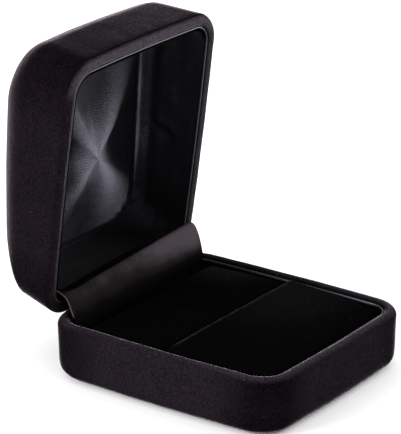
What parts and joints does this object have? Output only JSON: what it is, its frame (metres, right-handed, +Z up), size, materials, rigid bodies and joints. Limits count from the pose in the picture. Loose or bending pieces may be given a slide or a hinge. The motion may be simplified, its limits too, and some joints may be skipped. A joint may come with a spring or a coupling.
{
  "type": "ring box",
  "caption": "Velvet-covered ring box, standing open: a shallow base with a slit ring pad, and a deep domed lid lined with satin on a snap hinge behind a suede flap.",
  "frame": {"origin": "centre of the flat underside of the base", "axes": "+X along the hinge, the left side of the open box to its right side; +Y from the front of the base to the hinge; +Z up"},
  "size_m": [0.0506, 0.073, 0.0685],
  "materials": {
    "velvet": "black velvet, short nap",
    "pad_velvet": "deep black velvet",
    "satin": "black satin, soft gloss",
    "suede": "charcoal suede, matt",
    "steel": "bright pressed steel",
    "spring_steel": "blued spring strip",
    "card": "black board",
    "foam": "dark upholstery foam",
    "wadding": "cotton wadding"
  },
  "bodies": {
    "base": {"base_velvet": "velvet", "base_shell": "steel", "base_rim_band": "steel", "base_board": "card", "base_liner": "pad_velvet", "front_pad_core": "foam", "front_pad_cover": "pad_velvet", "rear_pad_core": "foam", "rear_pad_cover": "pad_velvet", "base_hinge_leaf": "steel", "hinge_pin": "steel", "base_rivet_left": "steel", "base_rivet_right": "steel", "hinge_spring": "spring_steel", "hinge_flap": "suede"},
    "lid": {"lid_velvet": "velvet", "lid_shell": "steel", "lid_rim_band": "steel", "lid_lining": "satin", "lid_padding": "wadding", "lid_card": "card", "lid_hinge_leaf": "steel", "lid_rivet_left": "steel", "lid_rivet_right": "steel"}
  },
  "joints": [
    {"name": "lid_hinge", "type": "hinge", "parent": "base", "child": "lid", "pos_m": [0, 0.02698, 0.01265], "axis": [1, 0, 0], "range_deg": [0, 82], "deforming": ["hinge_spring", "hinge_flap"]}
  ]
}
